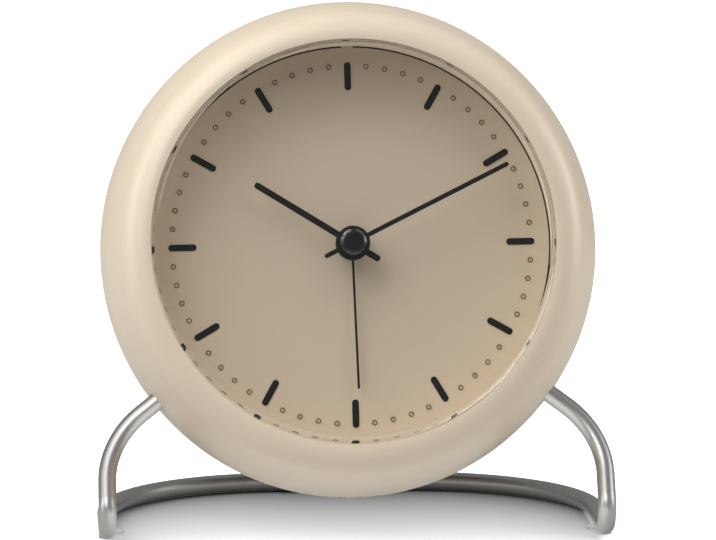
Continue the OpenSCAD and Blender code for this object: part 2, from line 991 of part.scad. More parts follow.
// Pole plate round the rotor, with an arm to each end of the coil
module stator() {
    color(steel)
        clock_frame()
            difference() {
                union() {
                    at(rotor_at) slab(stator_w, stator_w, stator_back, stator_back + stator_t);
                    translate([coil_x - core_w / 2, rotor_at[1], stator_back])
                        cube([core_w, coil_low + flange_t - rotor_at[1], stator_t]);
                    translate([rotor_at[0] + stator_w / 2 - return_w, rotor_at[1], stator_back])
                        cube([return_w, coil_low + coil_len + return_w + 1 - rotor_at[1], stator_t]);
                    translate([coil_x - core_w / 2, coil_low + coil_len + coil_room, stator_back])
                        cube([rotor_at[0] + stator_w / 2 - coil_x + core_w / 2, return_w, stator_t]);
                    translate([coil_x - core_w / 2, coil_low + coil_len - flange_t, stator_back])
                        cube([core_w, return_w + flange_t, stator_t]);
                }
                at(rotor_at) disc(stator_hole_r, stator_back - sink, stator_back + stator_t + sink);
            }
}

// Flat core with two flanges and the winding between them
module coil() {
    color(copper)
        clock_frame()
            translate([coil_x, coil_low, stator_back + stator_t / 2])
                rotate([-90, 0, 0])
                    difference() {
                        union() {
                            disc(coil_r, 0, coil_len);
                            disc(flange_r, 0, flange_t);
                            disc(flange_r, coil_len - flange_t, coil_len);
                        }
                        for (end = [0, coil_len])
                            translate([0, 0, end])
                                cube([core_w + fit, stator_t + fit, 2 * (flange_t + fit)], center = true);
                    }
}

module circuit_board() {
    color([0.1, 0.35, 0.2])
        clock_frame()
            translate([board_x, board_y, 0])
                slab(board_w, board_h, board_back, board_back + board_t);
}

module quartz_crystal() {
    color(steel)
        clock_frame()
            translate([board_x + board_w / 4, board_y + crystal_len / 2, board_back + board_t + crystal_r + fit])
                rotate([90, 0, 0]) {
                    cylinder(r = crystal_r, h = crystal_len);
                    translate([0, 0, crystal_len - crystal_r / 2]) cylinder(r = crystal_r + fit, h = crystal_r / 2);
                }
}

// Drop of black resin over the chip
module control_chip() {
    dome_r = (pow(chip_r, 2) + pow(chip_h, 2)) / (2 * chip_h);
    color(print_black)
        clock_frame()
            translate([board_x - board_w / 6, board_y + board_h / 4, board_back + board_t])
                intersection() {
                    disc(chip_r, 0, chip_h);
                    translate([0, 0, chip_h - dome_r]) sphere(dome_r);
                }
}

// Plates of the movement

module movement_front_plate() {
    color(plastic_natural)
        clock_frame()
            difference() {
                union() {
                    rounded_slab(movement_w, movement_w, corner_r, plate_front - plate_t, plate_front);
                    disc(alarm_pipe_r + run + bore_wall, plate_front - sink, -dial_t - fit);
                    for (i = [0 : 3])
                        rotate([0, 0, 45 + 90 * i]) {
                            translate([ear_at, 0, 0]) disc(ear_r, plate_front - plate_t, plate_front);
                            translate([ear_from, -ear_r, plate_front - plate_t])
                                cube([ear_at - ear_from, 2 * ear_r, plate_t]);
                        }
                    for (x = [-1, 1], y = [-1, 1])
                        translate([x * pillar_at, y * pillar_at, 0])
                            disc(pillar_r, middle_front, plate_front - sink);
                }
                disc(alarm_pipe_r + run, plate_front - plate_t - sink, 0);
                for (i = [0 : 3])
                    rotate([0, 0, 45 + 90 * i])
                        translate([ear_at, 0, 0])
                            disc(screw_r + fit, plate_front - plate_t - sink, plate_front + sink);
                for (place = [time_at, alarm_stem_at])
                    at(place)
                        disc(pivot_r + run, plate_front - plate_t - sink, plate_front - plate_t + pivot_in + fit);
            }
}

// Plate between the motion work in front of it and the going train behind it, with the post
// that the motion wheel turns on
module movement_middle_plate() {
    low = middle_front - middle_t;
    notch_x = coil_x + flange_r + coil_room;
    color(plastic_natural)
        clock_frame()
            difference() {
                union() {
                    slab(2 * (housing_in - fit), 2 * (housing_in - fit), low, middle_front);
                    at(motion_at) {
                        disc(post_pin_r, low, layer_alarm - 2 * sink);
                        disc(2 * post_pin_r, low, layer_motion - fit);
                    }
                }
                translate([-movement_w / 2, coil_low - flange_t, low - sink])
                    cube([notch_x + movement_w / 2, coil_len + 2 * flange_t, middle_t + 2 * sink]);
                disc(minute_r + run, low - sink, middle_front + sink);
                for (place = [time_at, alarm_stem_at])
                    at(place) disc(stem_r + run, low - sink, middle_front + sink);
                for (place = [third_at, fourth_at, fifth_at, rotor_at])
                    at(place) disc(pivot_r + run, low - sink, middle_front + sink);
            }
}

// Rear half of the movement's case: back plate, walls, and the pillars that press on the plate
module movement_housing() {
    front = plate_front - plate_t;
    color(plastic_natural)
        clock_frame()
            difference() {
                union() {
                    difference() {
                        rounded_slab(movement_w, movement_w, corner_r, housing_back, front);
                        slab(2 * housing_in, 2 * housing_in, back_plate_in, front + sink);
                    }
                    for (x = [-1, 1], y = [-1, 1])
                        translate([x * pillar_at, y * pillar_at, 0])
                            disc(pillar_r, back_plate_in - sink, middle_front - middle_t);
                    translate([board_x, board_y, 0])
                        for (x = [-1, 1], y = [-1, 1])
                            translate([x * (board_w / 2 - 1), y * (board_h / 2 - 1), 0])
                                disc(pivot_r, back_plate_in - sink, board_back);
                }
                disc(minute_r + run, housing_back + plate_t / 2 - fit, front);
                for (place = [time_at, alarm_stem_at])
                    at(place) disc(stem_r + run, housing_back - sink, front);
                for (place = [third_at, fourth_at, fifth_at, rotor_at])
                    at(place) disc(pivot_r + run, back_plate_in - pivot_in - fit, front);
                // Slot in the lower wall for the four leads
                translate([board_x - board_w / 2, -movement_w / 2 - sink, back_plate_in])
                    cube([board_w, 2 * housing_wall, board_back - back_plate_in + fit]);
            }
}

// Pan-head screw with its head's underside at zero and its shank towards +Z
module screw(shank_r, len, head_r, head_t) {
    difference() {
        union() {
            disc(shank_r, -sink, len);
            disc(head_r, -head_t, 0);
        }
        for (turned = [0, 90])
            rotate([0, 0, turned])
                translate([0, 0, -head_t])
                    cube([1.3 * head_r, cross_w, 2 * cross_depth], center = true);
    }
}

module movement_screws() {
    color(steel)
        clock_frame()
            for (i = [0 : 3])
                rotate([0, 0, 45 + 90 * i])
                    translate([ear_at, 0, plate_front - plate_t])
                        screw(screw_r - fit, plate_t + thread_bite, screw_head_r, screw_head_t);
}

module cover_screws() {
    color(steel)
        clock_frame()
            for (i = [0 : cover_screws - 1])
                rotate([0, 0, cover_screw_dir + 360 / cover_screws * i])
                    translate([cover_screw_at, 0, -back_depth + cover_head_t])
                        screw(screw_r - fit, cover_screw_len, cover_head_r, cover_head_t);
}

// Sound and supply

// Round buzzer in its cup, with a small step on the inner face
module buzzer() {
    color(plastic_grey)
        clock_frame()
            translate([slot_x, 0, -slot_back])
                rotate([90, 0, 0])
                    difference() {
                        union() {
                            disc(buzzer_r, -buzzer_y - buzzer_t, -buzzer_y);
                            disc(step_r, -buzzer_y - buzzer_t - step_h, -buzzer_y);
                        }
                        disc(1, -buzzer_y - 1, -buzzer_y + sink);
                    }
}

module buzzer_leads() {
    top_y = buzzer_y + buzzer_t;
    color([0.7, 0.1, 0.1])
        clock_frame()
            for (i = [0, 1])
                bent_rod(
                    [
                        [slot_x + step_r / 2 + lead_pitch * (i - 1 / 2), top_y + step_h, -slot_back],
                        [slot_x + step_r / 2 + lead_pitch * (i - 1 / 2), top_y + step_h + 2 * lead_bend, -slot_back],
                        [board_x + lead_pitch * (i - 1), lead_low, lead_board_z],
                        [board_x + lead_pitch * (i - 1), board_y - board_h / 2 + lead_bend, lead_board_z]
                    ],
                    [0, lead_bend, lead_bend, 0], lead_r
                );
}

module battery() {
    color(brass)
        clock_frame()
            translate([-battery_len / 2, tray_y, battery_z])
                rotate([0, 90, 0]) {
                    cylinder(d = battery_d, h = battery_len);
                    cylinder(r = nub_r, h = battery_len + nub_h);
                }
}

// Flat contact with a raised button for the battery's terminal and a tab through the tray
module contact_plus() {
    x = tray_w / 2;
    color(steel)
        clock_frame() {
            translate([x - contact_t, tray_y - contact_w / 2, tray_front - contact_w - 1])
                cube([contact_t, contact_w, contact_w + 1]);
            translate([x - contact_t, tray_y - tab_w / 2, tray_front - sink])
                cube([contact_t, tab_w, tab_len]);
            translate([battery_len / 2 + nub_h, tray_y, battery_z])
                rotate([0, 90, 0]) cylinder(r = nub_r - 1, h = x - battery_len / 2 - nub_h - sink);
        }
}

// Plate with a bowed blade that presses on the battery's flat end
module contact_spring() {
    x = -tray_w / 2;
    rise = tray_w / 2 - battery_len / 2;
    bow_r = (pow(contact_w, 2) / 4 + pow(rise, 2)) / (2 * rise);
    color(steel)
        clock_frame() {
            translate([x, tray_y - contact_w / 2, tray_front - battery_d + 1])
                cube([contact_t, contact_w, battery_d - 1]);
            translate([x, tray_y - tab_w / 2, tray_front - sink])
                cube([contact_t, tab_w, tab_len]);
            translate([x + rise - bow_r, tray_y, battery_z - tab_w / 2])
                linear_extrude(tab_w)
                    intersection() {
                        difference() {
                            circle(bow_r);
                            circle(bow_r - contact_t);
                        }
                        translate([bow_r - rise, -contact_w / 2]) square([rise, contact_w]);
                    }
        }
}

module battery_leads() {
    reach = tray_w / 2 - contact_t / 2;
    color([0.1, 0.1, 0.12])
        clock_frame()
            for (side = [-1, 1])
                bent_rod(
                    [
                        [side * reach, tray_y, tray_front + tab_len - lead_r - fit],
                        [side * reach, lead_low, tray_front + tab_len - lead_r - fit],
                        [board_x + lead_pitch * (3 * side - 1) / 2, lead_low, lead_board_z],
                        [board_x + lead_pitch * (3 * side - 1) / 2, board_y - board_h / 2 + lead_bend, lead_board_z]
                    ],
                    [0, lead_bend, lead_bend, 0], lead_r
                );
}

// Back

module rear_cover() {
    low = -back_depth;
    color(plastic_grey)
        clock_frame()
            difference() {
                union() {
                    disc(cover_r, low, low + cover_t);
                    translate([0, tray_y, 0])
                        slab(tray_w + 2 * tray_wall, tray_h + 2 * tray_wall, low + sink, tray_front + tray_wall);
                    translate([0, tray_y, 0])
                        slab(door_w + 2 * tray_wall, door_h + 2 * tray_wall, low + sink, low + door_t + tray_wall);
                }
                translate([0, tray_y, 0]) {
                    slab(tray_w, tray_h, low - sink, tray_front);
                    slab(door_w, door_h, low - sink, low + door_t);
                    // Finger notch for the door's grip
                    translate([0, door_h / 2, 0])
                        slab(grip_w, 2 * (grip_h + grip_room), low - sink, low + door_t / 2);
                }
                for (side = [-1, 1])
                    translate([side * (tray_w / 2 - contact_t / 2), tray_y, tray_front])
                        cube([contact_t + 2 * fit, tab_w + 2 * fit, 4 * tray_wall], center = true);
                for (place = [time_at, alarm_stem_at])
                    at(place) disc(stem_hole_r, low - sink, low + cover_t + sink);
                translate([0, switch_y, 0])
                    slab(switch_w + switch_travel + 2 * fit, switch_slot_h + 2 * fit, low - sink, low + cover_t + sink);
                for (i = [0 : cover_screws - 1])
                    rotate([0, 0, cover_screw_dir + 360 / cover_screws * i])
                        translate([cover_screw_at, 0, 0]) {
                            disc(screw_r + fit, low - sink, low + cover_t + sink);
                            disc(cover_head_r + fit, low - sink, low + cover_head_t);
                        }
            }
}

// Lid that lies flush in the cover and lifts straight out, with a grip at its upper edge
module battery_door() {
    low = -back_depth;
    color(plastic_grey)
        clock_frame()
            translate([0, tray_y, 0])
                difference() {
                    union() {
                        slab(door_w - 2 * door_gap, door_h - 2 * door_gap, low, low + door_t);
                        slab(tray_w - 2 * door_gap, tray_h - 2 * door_gap, low, low + door_t + door_step_t);
                    }
                    translate([0, door_h / 2, 0])
                        slab(grip_w, 2 * grip_h, low - sink, low + door_t / 2);
                    for (i = [-1, 0, 1])
                        translate([0, i * 3 * grip_h, 0])
                            slab(grip_w, grip_h, low - sink, low + grip_t / 2);
                }
}

// Slider in a slot of the cover: a knob outside, and a flange behind that keeps it in
module alarm_switch() {
    low = -back_depth;
    color(print_black)
        clock_frame()
            translate([-switch_travel / 2, switch_y, 0])
                difference() {
                    union() {
                        slab(switch_w, switch_slot_h, low - fit, low + cover_t + fit);
                        slab(switch_w + switch_flange, switch_h, low - fit - switch_knob_h, low - fit);
                        slab(
                            switch_w + 2 * switch_flange, switch_h + switch_flange,
                            low + cover_t + fit, low + cover_t + fit + switch_flange_t
                        );
                    }
                    for (i = [-1, 0, 1])
                        translate([i * switch_w / 4, 0, 0])
                            slab(grip_h / 2, switch_h + 1, low - fit - switch_knob_h - sink, low - switch_knob_h + grip_h / 2);
                }
}

case_shell();
stand_rod();
foot_pads();
glass();
dial_ring();
dial_plate();
hour_bars();
minute_rings();
alarm_hand();
hour_hand();
minute_hand();
hand_cap();
minute_arbor();
hour_wheel();
motion_wheel();
time_stem();
time_knob();
alarm_wheel();
alarm_stem();
alarm_knob();
alarm_switch();
centre_wheel();
third_wheel();
fourth_wheel();
fifth_wheel();
rotor();
stator();
coil();
circuit_board();
quartz_crystal();
control_chip();
movement_front_plate();
movement_middle_plate();
movement_housing();
movement_screws();
buzzer();
buzzer_leads();
battery();
contact_plus();
contact_spring();
battery_leads();
rear_cover();
cover_screws();
battery_door();
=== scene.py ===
"""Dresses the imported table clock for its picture: materials, smooth visible pieces, light, camera.

Lengths here are written in millimetres and turned into metres by MM. The clock frame is the one
of the CAD source: X to the right, Y up the dial, Z out of the dial, zero on the dial's face.
"""
import math

import bpy
from mathutils import Matrix, Vector

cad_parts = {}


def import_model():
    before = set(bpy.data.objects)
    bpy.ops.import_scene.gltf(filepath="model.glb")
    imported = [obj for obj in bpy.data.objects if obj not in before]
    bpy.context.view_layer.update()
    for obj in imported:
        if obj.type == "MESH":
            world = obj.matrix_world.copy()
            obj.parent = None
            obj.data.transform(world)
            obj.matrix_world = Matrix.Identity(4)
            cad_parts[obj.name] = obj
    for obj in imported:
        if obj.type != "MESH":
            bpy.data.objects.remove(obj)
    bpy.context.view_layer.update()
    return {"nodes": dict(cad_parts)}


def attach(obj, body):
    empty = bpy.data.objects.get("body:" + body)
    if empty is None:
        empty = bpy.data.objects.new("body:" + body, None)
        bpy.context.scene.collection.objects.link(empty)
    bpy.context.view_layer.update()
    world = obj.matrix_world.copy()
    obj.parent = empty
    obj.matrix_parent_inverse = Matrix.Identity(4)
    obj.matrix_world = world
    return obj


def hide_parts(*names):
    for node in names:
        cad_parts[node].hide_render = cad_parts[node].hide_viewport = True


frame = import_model()
NODES = frame["nodes"]
MM = 0.001

# The CAD's own sizes in millimetres, and its angles, written in degrees
CASE_TILT = math.radians(11.87)
CASE_TURN = math.radians(0.77)
DIAL_H = 63.69
PAD_H = 0.5
ROD_D = 4.0
CASE_D = 110.0
WALL = 2.5
SPHERE_BACK = 14.0
LIP_R = 6.0
CREST_H = 11.0
STAND_W = 109.6
STAND_BACK = 53.57
FOOT_AHEAD = 15.25
FOLD_R = 4.5
KNEE_R = 18.45
LOOP_R = 40.76
SOCKET_ANGLE = math.radians(52.56)
SOCKET_BACK = 7.16
SOCKET_LEN = 6.5
BORE_WALL = 2.0
FIT = 0.1
LIP_CUT = 0.824
GLASS_T = 1.6
GLASS_H = 9.2
DIAL_T = 0.8
DIAL_HOLE_R = 2.6
DIAL_TAB_W = 2.6
HAND_T = 0.4
HOUR_LEN = 25.0
HAND_TAIL = 7.0
HOUR_HAND_W = 1.4
HOUR_HAND_Z = 3.4
HOUR_HUB_R = 3.75
MINUTE_HAND_Z = 5.9
HOUR_AT = math.radians(302.4)

LIP_Z = CREST_H - LIP_R
LIP_RING_R = math.sqrt((CASE_D / 2 - LIP_R) ** 2 - (LIP_Z + SPHERE_BACK) ** 2)
FRONT_Y = -(LIP_Z * math.cos(CASE_TILT) + LIP_RING_R * math.sin(CASE_TILT) + LIP_R)
OPENING_R = LIP_RING_R - LIP_CUT
MID_Y = (FRONT_Y + STAND_BACK + ROD_D / 2) / 2
CASE_X = -DIAL_H * math.sin(CASE_TURN)
CASE_Z = DIAL_H + PAD_H
ROD_Z = PAD_H + ROD_D / 2

# Camera, from fitting the case, dial, hands and stand to their places in the photograph: how far it
# is left of the clock, ahead of the CAD source's origin and above the pads, its angles, its lens,
# and the nearest and farthest that it sees
CAMERA_LEFT = 72.54
CAMERA_AHEAD = 1200.0
CAMERA_UP = 217.7
CAMERA_AT = Vector((-CAMERA_LEFT, -CAMERA_AHEAD - MID_Y, CAMERA_UP + PAD_H))
CAMERA_YAW = math.radians(3.487)
CAMERA_PITCH = math.radians(7.562)
CAMERA_ROLL = math.radians(0.085)
FOCAL_PX = 5519.6
PHOTO_W_PX = 716
SENSOR_MM = 36.0
CLIP_NEAR = 50.0
CLIP_FAR = 20000.0


def clock_matrix():
    """Matrix from the clock frame, in metres, to the row frame."""
    place = Matrix.Translation(Vector((CASE_X, -MID_Y, CASE_Z)) * MM)
    lean = Matrix.Rotation(math.pi / 2 - CASE_TILT, 4, "X")
    turn = Matrix.Rotation(CASE_TURN, 4, "Z")
    return place @ lean @ turn


CLOCK = clock_matrix()


# Materials

# Noise scales are in cycles to a metre, and depths in millimetres. The broad patches change a finish's
# tone and roughness, and the fine grain gives its relief. A metal's scratches give its relief too, and
# scale its roughness and tone between these two shares.
PATCH_SCALE = 60.0
GRAIN_DEPTH = 0.05
SCRATCH_DEPTH = 0.02
SCRATCH_ROUGHNESS = (0.75, 1.3)
SCRATCH_TONE = (0.9, 1.08)


def material(name):
    """New node material, with its tree, its Principled shader and a node maker."""
    mat = bpy.data.materials.new(name)
    mat.use_nodes = True
    tree = mat.node_tree
    shader = tree.nodes["Principled BSDF"]

    def add(kind, **settings):
        node = tree.nodes.new(kind)
        for key, value in settings.items():
            if key in node.inputs:
                node.inputs[key].default_value = value
            else:
                setattr(node, key, value)
        return node

    return mat, tree, shader, add


def srgb(r, g, b):
    """Linear colour from the 0 to 255 values that a picture shows."""
    def linear(v):
        v /= 255
        return v / 12.92 if v <= 0.04045 else ((v + 0.055) / 1.055) ** 2.4
    return (linear(r), linear(g), linear(b), 1)


def finish_surface(name, colour, roughness, metallic=0.0, grain=900.0, bump=0.05, mottle=0.04,
                   roughness_spread=0.08, specular=0.5):
    """Satin surface: faint colour mottling, a fine bump, and roughness that varies a little."""
    mat, tree, shader, add = material(name)
    link = tree.links.new
    coord = add("ShaderNodeTexCoord")
    patches = add("ShaderNodeTexNoise", Scale=PATCH_SCALE, Detail=3.0)
    fine = add("ShaderNodeTexNoise", Scale=grain, Detail=2.0)
    link(coord.outputs["Object"], patches.inputs["Vector"])
    link(coord.outputs["Object"], fine.inputs["Vector"])
    tone = add("ShaderNodeMixRGB", blend_type="MULTIPLY")
    tone.inputs["Fac"].default_value = 1.0
    tone.inputs["Color1"].default_value = colour
    shade = add("ShaderNodeMapRange")
    shade.inputs["To Min"].default_value = 1 - mottle
    shade.inputs["To Max"].default_value = 1 + mottle
    link(patches.outputs["Fac"], shade.inputs["Value"])
    link(shade.outputs["Result"], tone.inputs["Color2"])
    link(tone.outputs["Color"], shader.inputs["Base Color"])
    rough = add("ShaderNodeMapRange")
    rough.inputs["To Min"].default_value = roughness - roughness_spread
    rough.inputs["To Max"].default_value = roughness + roughness_spread
    link(patches.outputs["Fac"], rough.inputs["Value"])
    link(rough.outputs["Result"], shader.inputs["Roughness"])
    relief = add("ShaderNodeBump")
    relief.inputs["Strength"].default_value = bump
    relief.inputs["Distance"].default_value = GRAIN_DEPTH * MM
    link(fine.outputs["Fac"], relief.inputs["Height"])
    link(relief.outputs["Normal"], shader.inputs["Normal"])
    shader.inputs["Metallic"].default_value = metallic
    shader.inputs["Specular IOR Level"].default_value = specular
    return mat


def brushed_metal(name, colour, roughness, stretch, bump=0.15, by_uv=False):
    """Metal with fine scratches, whose scale along each axis of the object or UV map is stretch."""
    mat, tree, shader, add = material(name)
    link = tree.links.new
    coord = add("ShaderNodeTexCoord")
    squeeze = add("ShaderNodeMapping")
    squeeze.inputs["Scale"].default_value = stretch
    lines = add("ShaderNodeTexNoise", Scale=1.0, Detail=4.0, Roughness=0.6)
    link(coord.outputs["UV" if by_uv else "Object"], squeeze.inputs["Vector"])
    link(squeeze.outputs["Vector"], lines.inputs["Vector"])
    rough = add("ShaderNodeMapRange")
    rough.inputs["To Min"].default_value = roughness * SCRATCH_ROUGHNESS[0]
    rough.inputs["To Max"].default_value = roughness * SCRATCH_ROUGHNESS[1]
    link(lines.outputs["Fac"], rough.inputs["Value"])
    link(rough.outputs["Result"], shader.inputs["Roughness"])
    tone = add("ShaderNodeMapRange")
    tone.inputs["To Min"].default_value = SCRATCH_TONE[0]
    tone.inputs["To Max"].default_value = SCRATCH_TONE[1]
    link(lines.outputs["Fac"], tone.inputs["Value"])
    shade = add("ShaderNodeMixRGB", blend_type="MULTIPLY")
    shade.inputs["Fac"].default_value = 1.0
    shade.inputs["Color1"].default_value = colour
    link(tone.outputs["Result"], shade.inputs["Color2"])
    link(shade.outputs["Color"], shader.inputs["Base Color"])
    relief = add("ShaderNodeBump")
    relief.inputs["Strength"].default_value = bump
    relief.inputs["Distance"].default_value = SCRATCH_DEPTH * MM
    link(lines.outputs["Fac"], relief.inputs["Height"])
    link(relief.outputs["Normal"], shader.inputs["Normal"])
    shader.inputs["Metallic"].default_value = 1.0
    return mat


def clear_plastic(name, tint, roughness, ior, specular=0.5):
    """Clear material that lets lamps and scattered light straight through to what is behind it."""
    mat, tree, shader, add = material(name)
    link = tree.links.new
    shader.inputs["Base Color"].default_value = tint
    shader.inputs["Roughness"].default_value = roughness
    shader.inputs["IOR"].default_value = ior
    shader.inputs["Specular IOR Level"].default_value = specular
    shader.inputs["Transmission Weight"].default_value = 1.0
    out = tree.nodes["Material Output"]
    path = add("ShaderNodeLightPath")
    through = add("ShaderNodeBsdfTransparent")
    through.inputs["Color"].default_value = tint
    mix = add("ShaderNodeMixShader")
    straight = add("ShaderNodeMath", operation="MAXIMUM")
    link(path.outputs["Is Shadow Ray"], straight.inputs[0])
    link(path.outputs["Is Diffuse Ray"], straight.inputs[1])
    link(straight.outputs[0], mix.inputs["Fac"])
    link(shader.outputs["BSDF"], mix.inputs[1])
    link(through.outputs["BSDF"], mix.inputs[2])
    link(mix.outputs["Shader"], out.inputs["Surface"])
    return mat


sand = finish_surface("sand_lacquer", srgb(206, 191, 169), 0.36, grain=1500, bump=0.03, mottle=0.01,
                      specular=0.7)
dial_sand = finish_surface("dial_paint", srgb(193, 177, 156), 0.5, grain=2500, bump=0.03, mottle=0.01,
                           specular=0.05)
ring_sand = finish_surface("ring_paint", srgb(238, 223, 204), 0.5, grain=1500, bump=0.03, mottle=0.01,
                           specular=0.2)
# Dark brown painted shade for the groove at the dial's rim
groove_painted_shade = finish_surface("gap_shadow", srgb(60, 44, 34), 0.8, mottle=0.1, specular=0.1)
rod_steel = brushed_metal("rod_steel", srgb(190, 188, 185), 0.36, (2.0, 90.0, 1.0), by_uv=True)
turned_steel = brushed_metal("turned_steel", srgb(185, 184, 182), 0.28, (3000, 3000, 200))
spring_steel = brushed_metal("spring_steel", srgb(200, 196, 186), 0.25, (300, 2500, 2500))
brass = brushed_metal("train_brass", srgb(205, 170, 100), 0.3, (2500, 300, 2500))
print_black = finish_surface("print_black", (0.008, 0.008, 0.008, 1), 0.7, grain=4000, mottle=0.1,
                             specular=0.02)
ring_brown = finish_surface("ring_print", srgb(112, 96, 80), 0.7, grain=4000, mottle=0.1, specular=0.1)
hand_black = finish_surface("hand_black", (0.006, 0.006, 0.006, 1), 0.5, grain=4000, mottle=0.1,
                            specular=0.03)
cap_black = finish_surface("cap_gloss", (0.004, 0.004, 0.006, 1), 0.14, grain=2000, bump=0.02,
                           mottle=0.1, roughness_spread=0.03)
natural = finish_surface("natural_plastic", srgb(214, 212, 202), 0.45, bump=0.08, mottle=0.03)
cover_grey = finish_surface("cover_plastic", srgb(72, 71, 70), 0.5, grain=2200, bump=0.35, mottle=0.05)
knob_grey = finish_surface("knob_plastic", srgb(58, 57, 56), 0.4, grain=1800, bump=0.2, mottle=0.05)
copper = brushed_metal("winding_copper", srgb(190, 110, 60), 0.35, (400, 6000, 400), bump=0.6)
board_green = finish_surface("board_green", srgb(40, 92, 60), 0.35, grain=700, bump=0.2, mottle=0.15)
red_lead = finish_surface("red_insulation", srgb(170, 30, 25), 0.45, mottle=0.05)
black_lead = finish_surface("black_insulation", srgb(28, 28, 30), 0.45, mottle=0.05)
sleeve = finish_surface("battery_sleeve", srgb(120, 124, 130), 0.35, metallic=0.3, mottle=0.05)
resin = finish_surface("chip_resin", srgb(18, 18, 20), 0.2, mottle=0.1)
clear = clear_plastic("clear_glass", (0.985, 0.99, 0.985, 1), 0.0, 1.49, specular=0.1)
pad_clear = clear_plastic("clear_pad", (0.97, 0.975, 0.97, 1), 0.15, 1.2)

CAD_MATERIALS = {
    "case_shell": sand, "dial_ring": ring_sand, "dial_plate": dial_sand, "glass": clear,
    "stand_rod": rod_steel, "foot_pads": pad_clear, "hour_bars": print_black,
    "minute_rings": ring_brown, "alarm_hand": hand_black, "hour_hand": hand_black,
    "minute_hand": hand_black, "hand_cap": cap_black, "minute_arbor": turned_steel,
    "time_stem": turned_steel, "alarm_stem": turned_steel, "hour_wheel": natural,
    "motion_wheel": natural, "alarm_wheel": natural, "centre_wheel": brass,
    "third_wheel": brass, "fourth_wheel": natural, "fifth_wheel": natural,
    "rotor": turned_steel, "stator": spring_steel, "coil": copper,
    "circuit_board": board_green, "quartz_crystal": turned_steel, "control_chip": resin,
    "movement_front_plate": natural, "movement_middle_plate": natural,
    "movement_housing": natural, "movement_screws": turned_steel, "buzzer": cover_grey,
    "buzzer_leads": red_lead, "battery": sleeve, "contact_plus": spring_steel,
    "contact_spring": spring_steel, "battery_leads": black_lead, "rear_cover": cover_grey,
    "cover_screws": turned_steel, "battery_door": cover_grey, "time_knob": knob_grey,
    "alarm_knob": knob_grey, "alarm_switch": knob_grey,
}


def paint(obj, mat):
    """Give a piece one material in place of any that it has."""
    obj.data.materials.clear()
    obj.data.materials.append(mat)


def smooth(obj, angle=35):
    """Smooth shading, with edges sharper than the angle in degrees kept crisp."""
    mesh = obj.data
    mesh.shade_smooth()
    mesh.set_sharp_from_angle(angle=math.radians(angle))


for name, obj in NODES.items():
    paint(obj, CAD_MATERIALS[name])


# Pieces built here, for smooth outlines and finer edges

# Sides of the turned pieces: the large discs, the glass, whose edge bends what is seen through it,
# and the small hubs
DISC_SIDES = 256
GLASS_SIDES = 720
HUB_SIDES = 96


def new_mesh(name, points, faces, matrix=None):
    """New object of these points and faces, moved by the matrix where one is given."""
    mesh = bpy.data.meshes.new(name)
    mesh.from_pydata([tuple(p) for p in points], [], faces)
    if matrix is not None:
        mesh.transform(matrix)
    mesh.validate()
    obj = bpy.data.objects.new(name, mesh)
    bpy.context.scene.collection.objects.link(obj)
    return obj


def lathe_part(profile, sides=DISC_SIDES, closed=True):
    """Points and faces, in millimetres, of a profile of (radius, height) turned about Z.

    A profile that isn't closed starts and ends on a flat disc.
    """
    points = [
        Vector((r * math.cos(2 * math.pi * k / sides), r * math.sin(2 * math.pi * k / sides), z))
        for r, z in profile
        for k in range(sides)
    ]
    steps = len(profile) if closed else len(profile) - 1
    faces = []
    for i in range(steps):
        below = i * sides
        above = (i + 1) % len(profile) * sides
        for k in range(sides):
            after = (k + 1) % sides
            faces.append((below + k, below + after, above + after, above + k))
    if not closed:
        last = (len(profile) - 1) * sides
        faces.append(tuple(reversed(range(sides))))
        faces.append(tuple(last + k for k in range(sides)))
    return points, faces


def round_bar_part(x_width, low_y, high_y, low_z, high_z, edge, steps=12):
    """Flat bar along Y with round ends, its top edge eased by a small chamfer."""
    half = x_width / 2

    def outline(inset, z):
        r = half - inset
        top = [(r * math.cos(math.pi * k / steps), high_y - half + r * math.sin(math.pi * k / steps))
               for k in range(steps + 1)]
        foot = [(-r * math.cos(math.pi * k / steps), low_y + half - r * math.sin(math.pi * k / steps))
                for k in range(steps + 1)]
        return [Vector((x, y, z)) for x, y in top + foot]

    rings = [outline(0, low_z), outline(0, high_z - edge), outline(edge, high_z)]
    count = len(rings[0])
    faces = []
    for i in range(len(rings) - 1):
        below = i * count
        above = below + count
        for k in range(count):
            after = (k + 1) % count
            faces.append((below + k, below + after, above + after, above + k))
    faces.append(tuple(reversed(range(count))))
    faces.append(tuple(2 * count + k for k in range(count)))
    return [p for ring in rings for p in ring], faces


def slab_part(width, low_y, high_y, low_z, high_z):
    """Plain block centred on X."""
    half = width / 2
    points = [Vector((x, y, z)) for z in (low_z, high_z)
              for x, y in ((-half, low_y), (half, low_y), (half, high_y), (-half, high_y))]
    faces = [(3, 2, 1, 0), (4, 5, 6, 7)]
    faces += [(k, (k + 1) % 4, 4 + (k + 1) % 4, 4 + k) for k in range(4)]
    return points, faces


def arc_profile(centre, radii, start, end, steps=16):
    """Profile points along an arc of an ellipse, from one angle to another in degrees."""
    angles = [math.radians(start + (end - start) * k / steps) for k in range(steps + 1)]
    return [(centre[0] + radii[0] * math.cos(a), centre[1] + radii[1] * math.sin(a)) for a in angles]


def clock_piece(name, parts, turned=0.0):
    """One object from parts given in the clock frame, turned clockwise about the dial's centre."""
    points, faces = [], []
    for part_points, part_faces in parts:
        start = len(points)
        points.extend(part_points)
        faces.extend(tuple(start + v for v in face) for face in part_faces)
    matrix = CLOCK @ Matrix.Rotation(-turned, 4, "Z") @ Matrix.Scale(MM, 4)
    return new_mesh(name, points, faces, matrix)


def put(obj, mat, body, node, angle=35):
    """Paint a piece, and let it ride a body and stand in for a node of the CAD."""
    paint(obj, mat)
    smooth(obj, angle)
    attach(obj, body)
    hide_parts(node)


